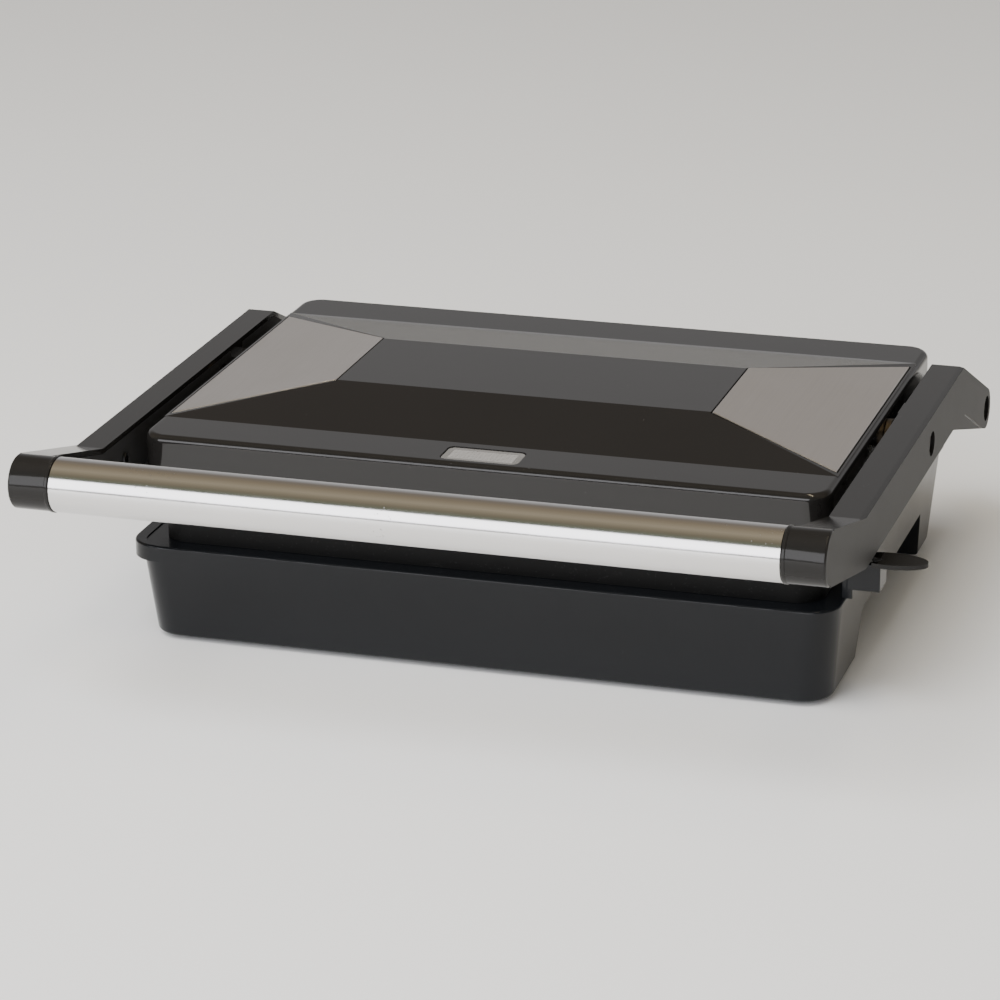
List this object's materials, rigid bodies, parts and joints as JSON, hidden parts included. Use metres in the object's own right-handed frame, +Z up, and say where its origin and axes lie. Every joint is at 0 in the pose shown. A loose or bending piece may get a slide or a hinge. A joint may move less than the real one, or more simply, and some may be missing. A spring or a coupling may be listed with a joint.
{
  "type": "panini press",
  "caption": "Contact grill with a ribbed plate in the base, a floating faceted lid and a tube handle on side arms that opens flat to the back.",
  "frame": {"origin": "on the table, under the middle of the base", "axes": "+Z up, -Y to the front where the handle is, +X to the right, on the latch side"},
  "size_m": [0.349, 0.3312, 0.1072],
  "materials": {
    "base_plastic": "satin black moulded plastic, glass-filled",
    "lid_plastic": "glossy black moulded plastic",
    "arm_plastic": "glossy black moulded plastic",
    "cover_plastic": "matte black moulded plastic",
    "inlay_steel": "finely brushed stainless steel sheet",
    "tube_steel": "satin stainless steel tube",
    "plate_cast": "cast aluminium with a black non-stick coating",
    "element_steel": "steel-sheathed heating element",
    "shield_sheet": "aluminised sheet",
    "zinc_steel": "zinc-plated steel fasteners",
    "black_steel": "black-coated steel",
    "rubber": "black rubber",
    "lens_clear": "clear ribbed plastic lens",
    "lamp_glass": "small neon indicator lamps",
    "ceramic": "pale ceramic and phenolic",
    "bush_brass": "turned brass",
    "latch_black": "glossy black moulded plastic"
  },
  "bodies": {
    "base": {"base_shell": "base_plastic", "hinge_brackets": "base_plastic", "hinge_bracket_screws": "zinc_steel", "latch_bracket": "base_plastic", "base_bottom_cover": "cover_plastic", "base_cover_screws": "zinc_steel", "rubber_feet": "rubber", "cord_inlet_grommet": "rubber", "terminal_block": "ceramic", "lower_plate": "plate_cast", "lower_plate_screws": "zinc_steel", "lower_heating_element": "element_steel", "lower_heat_shield": "shield_sheet", "lower_thermostat": "ceramic", "thermal_fuse": "ceramic", "hinge_bolts": "black_steel", "hinge_nuts": "zinc_steel", "hinge_washers": "black_steel", "latch_pivot_pin": "black_steel"},
    "handle_frame": {"right_arm": "arm_plastic", "left_arm": "arm_plastic", "right_arm_cover": "cover_plastic", "left_arm_cover": "cover_plastic", "arm_cover_screws": "zinc_steel", "handle_tube": "tube_steel", "tube_collars": "arm_plastic", "handle_grub_screws": "black_steel", "lid_pivot_bolts": "black_steel", "latch_catch": "black_steel", "latch_catch_screw": "black_steel"},
    "lid": {"lid_shell": "lid_plastic", "right_inlay": "inlay_steel", "left_inlay": "inlay_steel", "indicator_lens": "lens_clear", "indicator_lamps": "lamp_glass", "lamp_holder": "ceramic", "lid_pivot_bushes": "bush_brass", "upper_plate": "plate_cast", "upper_plate_screws": "zinc_steel", "upper_heating_element": "element_steel", "upper_heat_shield": "shield_sheet", "upper_thermostat": "ceramic"},
    "latch": {"latch_lever": "latch_black"}
  },
  "joints": [
    {"name": "handle_open", "type": "hinge", "parent": "base", "child": "handle_frame", "pos_m": [0, 0.128, 0.0542], "axis": [-1, 0, 0], "range_deg": [0, 180]},
    {"name": "lid_float", "type": "hinge", "parent": "handle_frame", "child": "lid", "pos_m": [0, 0.0042, 0.0788], "axis": [-1, 0, 0], "range_deg": [-2, 2]},
    {"name": "latch_turn", "type": "hinge", "parent": "base", "child": "latch", "pos_m": [0.1545, -0.0915, 0.063], "axis": [0, 0, -1], "range_deg": [0, 50]}
  ]
}
